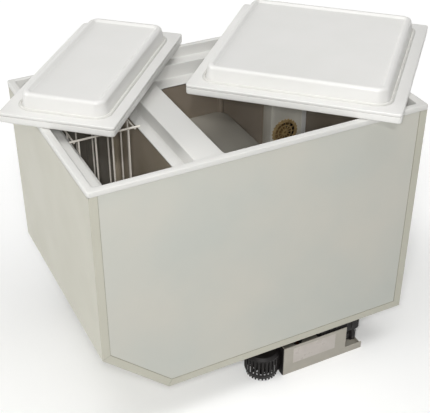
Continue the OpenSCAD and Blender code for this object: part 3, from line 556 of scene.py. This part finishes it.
def slab(bm: bmesh.types.BMesh, low: Vector, high: Vector, radius: float = 0.0) -> None:
    """Adds a block with rounded edges.

    Args:
        bm: the bmesh that gets the block.
        low: its lowest corner.
        high: its highest corner.
        radius: the radius of its edges, or 0 to leave them sharp.
    """
    made = bmesh.ops.create_cube(bm, size=1.0)["verts"]
    bmesh.ops.scale(bm, vec=high - low, verts=made)
    bmesh.ops.translate(bm, vec=(low + high) / 2, verts=made)
    if radius:
        bevel(bm, {e for v in made for e in v.link_edges}, radius, segments=3)


def rod(bm: bmesh.types.BMesh, radius: float, length: float, sides: int, place: Matrix) -> None:
    """Adds a straight round rod with closed ends.

    Args:
        bm: the bmesh that gets the rod.
        radius: its radius.
        length: its length.
        sides: how many faces go round it.
        place: where its middle lies, and how its axis is turned from Z.
    """
    bmesh.ops.create_cone(
        bm, cap_ends=True, segments=sides, radius1=radius, radius2=radius, depth=length, matrix=place
    )


def arc(inset: float, rise: float, start_deg: float, end_deg: float, steps: int = 5) -> list[Step]:
    """Splits a quarter round of a profile into small steps.

    Args:
        inset: how far the quarter goes inwards.
        rise: how far it goes up, or down where negative.
        start_deg: the angle that it starts at, 0 where it runs straight up and 90 where it lies flat.
        end_deg: the angle that it ends at.
        steps: how many steps it has.

    Returns:
        The steps, each as how far inwards and how far up.
    """
    span = math.radians(end_deg - start_deg)
    first = math.radians(start_deg)
    marks = [first + span * i / steps for i in range(steps + 1)]
    reach = abs(math.cos(marks[0]) - math.cos(marks[-1]))
    height = abs(math.sin(marks[-1]) - math.sin(marks[0]))
    return [
        (
            inset * abs(math.cos(near) - math.cos(far)) / reach,
            rise * abs(math.sin(far) - math.sin(near)) / height,
        )
        for near, far in zip(marks, marks[1:])
    ]


def rounded_face(
    bm: bmesh.types.BMesh, width: float, depth: float, radius: float, z: float
) -> bmesh.types.BMFace:
    """Adds a flat face with round corners, facing up.

    Args:
        bm: the bmesh that gets the face.
        width: its size along X.
        depth: its size along Y.
        radius: the radius of its corners.
        z: its height.

    Returns:
        The new face.
    """
    corner_steps = 12
    made = bmesh.ops.create_grid(bm, x_segments=1, y_segments=1, size=0.5)["verts"]
    bmesh.ops.scale(bm, vec=(width, depth, 1), verts=made)
    bmesh.ops.translate(bm, vec=(0, 0, z), verts=made)
    corners = bevel(bm, made, radius, corner_steps, Rounded.CORNERS)
    face = max((f for v in corners for f in v.link_faces), key=lambda f: len(f.verts))
    if face.normal.z < 0:
        face.normal_flip()
    return face


def climb(bm: bmesh.types.BMesh, face: bmesh.types.BMFace, steps: Sequence[Step]) -> bmesh.types.BMFace:
    """Grows a form from a face by insets, each with its own depth.

    Args:
        bm: the bmesh that holds the face.
        face: the face that the form starts from, which moves to the end of it.
        steps: how far inwards and how far along its normal each step goes.

    Returns:
        The face at the end.
    """
    for inset, rise in steps:
        bmesh.ops.inset_region(
            bm, faces=[face], thickness=inset, depth=rise, use_even_offset=True, use_boundary=True
        )
    return face


@dataclass
class Lid:
    """A lift-off lid that lies upside down on the rim, turned across the cabinet."""

    name: str
    width: float
    plug_width: float
    plug_shift: float
    corner: tuple[float, float]
    corner_side: int
    turn_deg: float
    depth: float = 478.5 * MM
    plug_depth: float = 418.5 * MM
    rest_z: float = 663.8 * MM
    edge_t: float = 23 * MM
    shell_t: float = 15.5 * MM
    groove: float = 1.2 * MM
    skin: float = 2.5 * MM
    spigot: float = 6 * MM
    slip: float = 0.2 * MM
    corner_r: float = 7 * MM
    outer_round: float = 4 * MM
    plug_r: float = 28 * MM
    plug_h: float = 33 * MM
    plug_round: float = 8 * MM
    plug_draft: float = 4 * MM
    foot_round: float = 3 * MM
    pan_border: float = 13 * MM
    pan_h: float = 5 * MM
    pan_slope: float = 4 * MM
    seal_w: float = 6 * MM
    seal_h: float = 3.5 * MM
    seal_gap: float = 2 * MM
    seal_flange_t: float = 1.2 * MM
    seal_shoulder: float = 2 * MM
    lip_round: float = 0.8 * MM
    edge_round: float = 2.4 * MM
    under_round: float = 0.8 * MM
    pan_round: float = 1.5 * MM

    def place(self) -> Matrix:
        """Works out where the middle of the lid's outer face lies, and how the lid is turned.

        Returns:
            The matrix that takes the lid from round the origin to its place.
        """
        at = Matrix.Translation((self.corner[0], self.corner[1], self.rest_z))
        turned = Matrix.Rotation(math.radians(self.turn_deg), 4, "Z")
        return at @ turned @ Matrix.Translation((self.corner_side * self.width / 2, self.depth / 2, 0))

    def build(self) -> None:
        """Builds the lid's three visible pieces."""
        self.shell()
        self.liner()
        self.gasket()

    def finish_piece(self, bm: bmesh.types.BMesh, part: str) -> None:
        """Moves a shape to where the lid lies and puts it in place of the node of the same name.

        Args:
            bm: the shape, round the lid's middle.
            part: the end of the node's name.
        """
        node = f"{self.name}_{part}"
        bm.transform(self.place())
        add_piece(bm, f"{node}_skin", NODE_FINISHES[node], self.name, [node])

    def shell(self) -> None:
        """Builds the outer moulding, a shallow tray with a round lower edge and an open top."""
        bm = bmesh.new()
        round_in = self.outer_round
        lip = self.lip_round
        base = rounded_face(
            bm, self.width - 2 * round_in, self.depth - 2 * round_in, self.corner_r - round_in, 0
        )
        start_edges = list(base.edges)
        climb(bm, base, [
            *arc(-round_in, round_in, 90, 0),
            (0, self.shell_t - round_in - lip),
            *arc(lip, lip, 0, 90, 3),
            (self.skin - lip, 0),
            (0, self.skin - self.shell_t),
        ])
        bmesh.ops.contextual_create(bm, geom=start_edges)
        self.finish_piece(bm, "shell")

    def liner(self) -> None:
        """Builds the inner moulding: the edge, the spigot below it, the plug and its shallow pan."""
        bm = bmesh.new()
        edge = self.edge_and_spigot(bm)
        plug = self.plug_foot(bm)
        rims = [*edge.edges, *plug.edges]
        bmesh.ops.delete(bm, geom=[edge], context="FACES_ONLY")
        self.plug_and_pan(bm, plug)
        bmesh.ops.bridge_loops(bm, edges=rims)
        self.finish_piece(bm, "liner")

    def edge_and_spigot(self, bm: bmesh.types.BMesh) -> bmesh.types.BMFace:
        """Builds the edge that shows, and the spigot that goes down into the shell.

        Args:
            bm: the bmesh that gets them.

        Returns:
            The edge's upper face, which the plug stands on.
        """
        low = self.shell_t + self.groove
        under_in = self.under_round
        edge = rounded_face(
            bm, self.width - 2 * under_in, self.depth - 2 * under_in, self.corner_r - under_in, low
        )
        under_edges = list(edge.edges)
        climb(bm, edge, [
            *arc(-under_in, under_in, 90, 0, 3),
            (0, self.edge_t - low - under_in - self.edge_round),
            *arc(self.edge_round, self.edge_round, 0, 90),
        ])
        under = bmesh.ops.contextual_create(bm, geom=under_edges)["faces"][0]
        under.normal_update()
        if under.normal.z > 0:
            under.normal_flip()
        climb(bm, under, [(self.skin + self.slip - under_in, 0), (0, self.spigot)])
        return edge

    def plug_foot(self, bm: bmesh.types.BMesh) -> bmesh.types.BMFace:
        """Adds the face that the plug starts from, as wide as its rounded foot.

        Args:
            bm: the bmesh that gets the face.

        Returns:
            The new face.
        """
        foot = self.foot_round
        plug = rounded_face(
            bm, self.plug_width + 2 * foot, self.plug_depth + 2 * foot, self.plug_r + foot, self.edge_t
        )
        bmesh.ops.translate(bm, vec=(self.plug_shift, 0, 0), verts=plug.verts)
        return plug

    def plug_and_pan(self, bm: bmesh.types.BMesh, plug: bmesh.types.BMFace) -> None:
        """Grows the plug with its draft and round edge, and sinks the pan into it.

        Args:
            bm: the bmesh that holds the plug's foot.
            plug: the face that the plug starts from.
        """
        foot = self.foot_round
        dip = self.pan_round / 2
        climb(bm, plug, [
            *arc(foot, foot, 90, 0, 4),
            (self.plug_draft, self.plug_h - foot - self.plug_round),
            *arc(self.plug_round, self.plug_round, 0, 90, 8),
            (self.pan_border - self.plug_round - self.pan_round, 0),
            *arc(self.pan_round, -dip, 90, 45, 3),
            (self.pan_slope, 2 * dip - self.pan_h),
            *arc(self.pan_round, -dip, 45, 90, 3),
        ])

    def gasket(self) -> None:
        """Builds the seal, a soft round ridge on a thin flange round the plug's foot."""
        bm = bmesh.new()
        reach = self.seal_gap + self.seal_w
        ridge = self.seal_h - self.seal_flange_t
        half = (self.seal_w - self.seal_shoulder) / 2
        seal = rounded_face(
            bm, self.plug_width + 2 * reach, self.plug_depth + 2 * reach, self.plug_r + reach, self.edge_t
        )
        outer_edges = list(seal.edges)
        seal = climb(bm, seal, [
            (0, self.seal_flange_t),
            (self.seal_shoulder, 0),
            *arc(half, ridge, 0, 90, 5),
            *arc(half, -ridge - self.seal_flange_t, 90, 0, 5),
        ])
        inner_edges = list(seal.edges)
        bmesh.ops.delete(bm, geom=[seal], context="FACES_ONLY")
        bmesh.ops.bridge_loops(bm, edges=[*outer_edges, *inner_edges])
        bmesh.ops.translate(bm, vec=(self.plug_shift, 0, 0), verts=bm.verts)
        self.finish_piece(bm, "gasket")


@dataclass
class Cabinet:
    """The fixed mouldings whose rounded edges catch the light."""

    frame_round: float = 2.2 * MM
    housing_round: float = 0.6 * MM
    trim_w: float = 13 * MM
    trim_t: float = 1.6 * MM
    trim_inset: float = 3 * MM
    trim_round: float = 0.5 * MM
    slope_w: float = 148 * MM
    slope_h: float = 139 * MM
    flange_w: float = 18 * MM
    sheet_t: float = 1 * MM
    bead_r: float = 0.6 * MM
    bead_sides: int = 10

    def build(self) -> None:
        """Rounds the mouldings' edges, puts the pale strip with its painted highlight on the fan's housing
        and lays the dark beads that paint the seams' shadow lines.
        """
        soften("top_frame", self.frame_round)
        soften("fan_housing", self.housing_round, segments=2)
        self.edge_strip()
        low, high = node_box("side_wrap")
        self.seam("front_seam", low, high, low.y + self.sheet_t)
        self.seam("back_seam", low, high, high.y - self.sheet_t)

    def seam(self, name: str, low: Vector, high: Vector, y: float) -> None:
        """Adds the fine dark bead along the flange's inner edge, a painted shadow line, which keeps the
        same distance from all sides.

        Args:
            name: the piece's name.
            low: the casing's lowest corner.
            high: its highest corner.
            y: the plane of the panel that the bead lies on.
        """
        slope = math.hypot(self.slope_w, self.slope_h)
        corner = self.slope_w * self.slope_h
        inset = self.flange_w + self.bead_r / 2
        slope_top = low.z + (corner + inset * (slope - self.slope_h)) / self.slope_w
        slope_foot = low.x + (corner + inset * (slope - self.slope_w)) / self.slope_h
        path = [
            Vector((low.x + inset, y, high.z)),
            Vector((low.x + inset, y, slope_top)),
            Vector((slope_foot, y, low.z + inset)),
            Vector((high.x - inset, y, low.z + inset)),
            Vector((high.x - inset, y, high.z)),
        ]
        bm = bmesh.new()
        for start, end in zip(path, path[1:]):
            run = end - start
            along_run = run.to_track_quat("Z", "Y").to_matrix().to_4x4()
            place = Matrix.Translation((start + end) / 2) @ along_run
            rod(bm, self.bead_r, run.length, self.bead_sides, place)
        add_piece(bm, name, SEAM_SHADOW_BEAD)

    def edge_strip(self) -> None:
        """Adds the strip down the right edge of the housing's face, paler than the housing: a painted
        highlight along that edge.
        """
        low, high = node_box("fan_housing")
        bm = bmesh.new()
        slab(
            bm,
            Vector((high.x - self.trim_w, low.y - self.trim_t, low.z + self.trim_inset)),
            Vector((high.x - self.trim_round, low.y, high.z - self.trim_inset)),
            self.trim_round,
        )
        add_piece(bm, "housing_painted_highlight_strip", WHITE_ABS)


@dataclass
class Shelf:
    """The level shelf at the left of the large compartment, a moulded sheet on four pegs."""

    left: float = -58 * MM
    right: float = 117 * MM
    front: float = -173.5 * MM
    back: float = 177 * MM
    top: float = 505 * MM
    sheet_t: float = 3 * MM
    wall_gap: float = 0.4 * MM
    corner_r: float = 30 * MM
    corner_segments: int = 10
    edge_round: float = 0.8 * MM
    edge_segments: int = 2
    edge_fold_deg: float = 60
    peg_r: float = 4 * MM
    peg_l: float = 12 * MM
    peg_sides: int = 20
    peg_seat: float = 0.3 * MM
    peg_inset: float = 32 * MM

    def build(self) -> None:
        """Builds the sheet and the pegs that carry it."""
        self.sheet()
        self.pegs()

    def sheet(self) -> None:
        """Builds the sheet, with round corners on its open side."""
        bm = bmesh.new()
        slab(
            bm,
            Vector((self.left + self.wall_gap, self.front + self.wall_gap, self.top - self.sheet_t)),
            Vector((self.right, self.back - self.wall_gap, self.top)),
        )
        middle = (self.left + self.right) / 2
        upright = [e for e in bm.edges if abs(e.verts[0].co.z - e.verts[1].co.z) > self.sheet_t / 2]
        open_corners = [e for e in upright if e.verts[0].co.x > middle]
        bevel(bm, open_corners, self.corner_r, self.corner_segments)
        rim = [e for e in bm.edges if e.calc_face_angle() > math.radians(self.edge_fold_deg)]
        bevel(bm, rim, self.edge_round, self.edge_segments)
        add_piece(bm, "compartment_shelf", SHELF_SHEET)

    def pegs(self) -> None:
        """Builds the pegs, which stand out of the front and the back wall under the sheet."""
        bm = bmesh.new()
        level = self.top - self.sheet_t - self.peg_r + self.peg_seat
        reach = self.peg_l / 2 - self.peg_seat
        along_y = Matrix.Rotation(math.radians(90), 4, "X")
        for x in (self.left + self.peg_inset, self.right - 2 * self.peg_inset):
            for y in (self.front + reach, self.back - reach):
                place = Matrix.Translation((x, y, level)) @ along_y
                rod(bm, self.peg_r, self.peg_l, self.peg_sides, place)
        add_piece(bm, "shelf_pegs", WHITE_ABS)


@dataclass
class CondensingUnit:
    """The unit under the cabinet, with the bare label on its tall front plate."""

    plate_inset: float = 99.5 * MM
    label_left: float = 26 * MM
    label_w: float = 118 * MM
    label_drop: float = 8 * MM
    label_h: float = 46 * MM
    label_t: float = 0.3 * MM
    label_round_share: float = 0.4
    black_round: float = 0.7 * MM

    def build(self) -> None:
        """Rounds the electronic unit's edges and lays the label on the plate."""
        soften("control_box", self.black_round, segments=2)
        self.label()

    def label(self) -> None:
        """Adds the film on the front plate, which starts at some distance from the tray's left side."""
        low, high = node_box("unit_tray")
        left = low.x + self.plate_inset + self.label_left
        corner = Vector((left, low.y - self.label_t / 2, high.z - self.label_drop))
        bm = bmesh.new()
        slab(
            bm,
            corner - Vector((0, 0, self.label_h)),
            corner + Vector((self.label_w, self.label_t, 0)),
            self.label_t * self.label_round_share,
        )
        add_piece(bm, "rating_label", LABEL_FILM)


def away(azimuth_deg: float, elevation_deg: float) -> Vector:
    """Works out a direction away from the object.

    Args:
        azimuth_deg: 0 towards the viewer in front of it, negative towards its left.
        elevation_deg: the height above the horizon.

    Returns:
        The unit vector.
    """
    a = math.radians(azimuth_deg)
    e = math.radians(elevation_deg)
    return Vector((math.sin(a) * math.cos(e), -math.cos(a) * math.cos(e), math.sin(e)))


@dataclass(frozen=True)
class Sun:
    """A distant lamp, which lights the floor and the object evenly."""

    name: str
    azimuth_deg: float
    elevation_deg: float
    strength: float
    spread_deg: float
    distance: float = 3.0

    def build(self) -> None:
        """Adds the lamp."""
        data = bpy.data.lights.new(self.name, "SUN")
        data.energy = self.strength
        data.angle = math.radians(self.spread_deg)
        lamp = add_object(self.name, data)
        lamp.location = self.distance * away(self.azimuth_deg, self.elevation_deg)
        lamp.rotation_euler = lamp.location.to_track_quat("Z", "Y").to_euler()


@dataclass(frozen=True)
class NearLight:
    """A small lamp close to the object, which fades towards its far side."""

    name: str
    place: tuple[float, float, float]
    size: float
    watts: float
    aim: tuple[float, float, float] = (0.0, 0.0, 0.4)

    def build(self) -> None:
        """Adds the lamp."""
        data = bpy.data.lights.new(self.name, "AREA")
        data.size = self.size
        data.energy = self.watts
        lamp = add_object(self.name, data)
        lamp.location = self.place
        lamp.rotation_euler = (lamp.location - Vector(self.aim)).to_track_quat("Z", "Y").to_euler()


def seen_directly(tree: bpy.types.NodeTree) -> bpy.types.NodeSocket:
    """Tells what is looked at, mirrored or seen through something from what only gets light.

    Args:
        tree: the node tree that gets the nodes.

    Returns:
        The socket, 1 where it is seen and 0 for the light that reaches a surface from it.
    """
    path = add(tree, "ShaderNodeLightPath").outputs
    seen = path["Is Camera Ray"]
    for kind in ("Is Glossy Ray", "Is Transmission Ray"):
        seen = add(tree, "ShaderNodeMath", {0: seen, 1: path[kind]}, operation="MAXIMUM").outputs["Value"]
    return seen


@dataclass
class Studio:
    """The camera at the photograph's angle, a plain pale floor and even lamps."""

    camera_at: tuple[float, float, float] = (-0.8201, -1.6364, 1.6056)
    azimuth_deg: float = -26.761
    elevation_deg: float = 34.212
    roll_deg: float = 0.106
    lens_mm: float = 78.4
    sensor_mm: float = 36
    floor_size: float = 12.0
    floor_colour: str = "#E9E9E8"
    glow_from: float = 0.6
    glow_to: float = 1.4
    glow_near: float = 0.18
    glow_far: float = 0.42
    world_light: float = 0.08
    world_seen: float = 1.0
    suns: tuple[Sun, ...] = (
        Sun("key_light", azimuth_deg=-27, elevation_deg=40, strength=0.62, spread_deg=3),
        Sun("side_light", azimuth_deg=-115, elevation_deg=16, strength=1.34, spread_deg=25),
        Sun("top_light", azimuth_deg=-60, elevation_deg=80, strength=0.80, spread_deg=30),
        Sun("right_light", azimuth_deg=60, elevation_deg=70, strength=0.62, spread_deg=30),
    )
    camera_light: NearLight = NearLight("camera_light", place=(-0.75, -1.44, 1.50), size=0.15, watts=13.4)

    def build(self) -> None:
        """Sets the camera, the floor, the lamps and the world."""
        self.camera()
        self.floor()
        for sun in self.suns:
            sun.build()
        self.camera_light.build()
        self.world()
        bpy.context.scene.view_settings.view_transform = "Standard"

    def camera(self) -> None:
        """Puts the camera where the photograph was taken from."""
        data = bpy.data.cameras.new("photo_camera")
        data.lens = self.lens_mm
        data.sensor_width = self.sensor_mm
        camera = add_object("photo_camera", data)
        camera.location = self.camera_at
        level = away(self.azimuth_deg, self.elevation_deg).to_track_quat("Z", "Y").to_matrix()
        camera.rotation_euler = (level @ Matrix.Rotation(math.radians(self.roll_deg), 3, "Z")).to_euler()
        bpy.context.scene.camera = camera

    def floor(self) -> None:
        """Lays the floor, near white to the camera with the object's shadow kept."""
        bm = bmesh.new()
        bmesh.ops.create_grid(bm, x_segments=1, y_segments=1, size=self.floor_size / 2)
        mesh = bpy.data.meshes.new("floor")
        bm.to_mesh(mesh)
        bm.free()
        mesh.materials.append(self.floor_paper())
        floor = add_object("floor", mesh)

    def floor_paper(self) -> bpy.types.Material:
        """Builds the floor's matt white paper, which looks brighter further out but lights nothing.

        Returns:
            The material.
        """
        material = bpy.data.materials.new("studio_paper")
        tree = empty_tree(material)
        paper = add(tree, "ShaderNodeBsdfDiffuse", {"Color": linear(self.floor_colour)})
        place = add(tree, "ShaderNodeTexCoord").outputs["Object"]
        reach = add(tree, "ShaderNodeVectorMath", {0: place}, operation="LENGTH")
        level = add(
            tree,
            "ShaderNodeMapRange",
            {
                "Value": reach.outputs["Value"],
                "From Min": self.glow_from,
                "From Max": self.glow_to,
                "To Min": self.glow_near,
                "To Max": self.glow_far,
            },
        )
        glow = add(tree, "ShaderNodeEmission", {"Color": WHITE, "Strength": level.outputs["Result"]})
        both = add(tree, "ShaderNodeAddShader", {0: paper.outputs["BSDF"], 1: glow.outputs["Emission"]})
        mixed = add(
            tree,
            "ShaderNodeMixShader",
            {0: seen_directly(tree), 1: paper.outputs["BSDF"], 2: both.outputs["Shader"]},
        )
        add(tree, "ShaderNodeOutputMaterial", {"Surface": mixed.outputs["Shader"]})
        return material

    def world(self) -> None:
        """Lights the object evenly from all round, with white beyond the floor."""
        world = bpy.data.worlds.new("white_room")
        bpy.context.scene.world = world
        tree = empty_tree(world)
        level = add(
            tree,
            "ShaderNodeMapRange",
            {"Value": seen_directly(tree), "To Min": self.world_light, "To Max": self.world_seen},
        )
        sky = add(tree, "ShaderNodeBackground", {"Color": WHITE, "Strength": level.outputs["Result"]})
        add(tree, "ShaderNodeOutputWorld", {"Surface": sky.outputs["Background"]})


def main() -> None:
    """Dresses the refrigerator and sets the studio."""
    logging.basicConfig(level=logging.INFO, format="%(name)s: %(message)s")
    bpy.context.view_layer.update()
    for node, finish in NODE_FINISHES.items():
        dress_node(node, finish)
    small_lid = Lid(
        "small_lid",
        width=253.25 * MM,
        plug_width=190.5 * MM,
        plug_shift=1.375 * MM,
        corner=(-0.268, -0.093),
        corner_side=-1,
        turn_deg=-41.7,
    )
    large_lid = Lid(
        "large_lid",
        width=466.75 * MM,
        plug_width=404 * MM,
        plug_shift=-1.375 * MM,
        corner=(-0.059, 0.017),
        corner_side=1,
        turn_deg=-43.6,
    )
    small_lid.build()
    large_lid.build()
    Cabinet().build()
    Shelf().build()
    CondensingUnit().build()
    Studio().build()


if __name__ == "__main__":
    main()
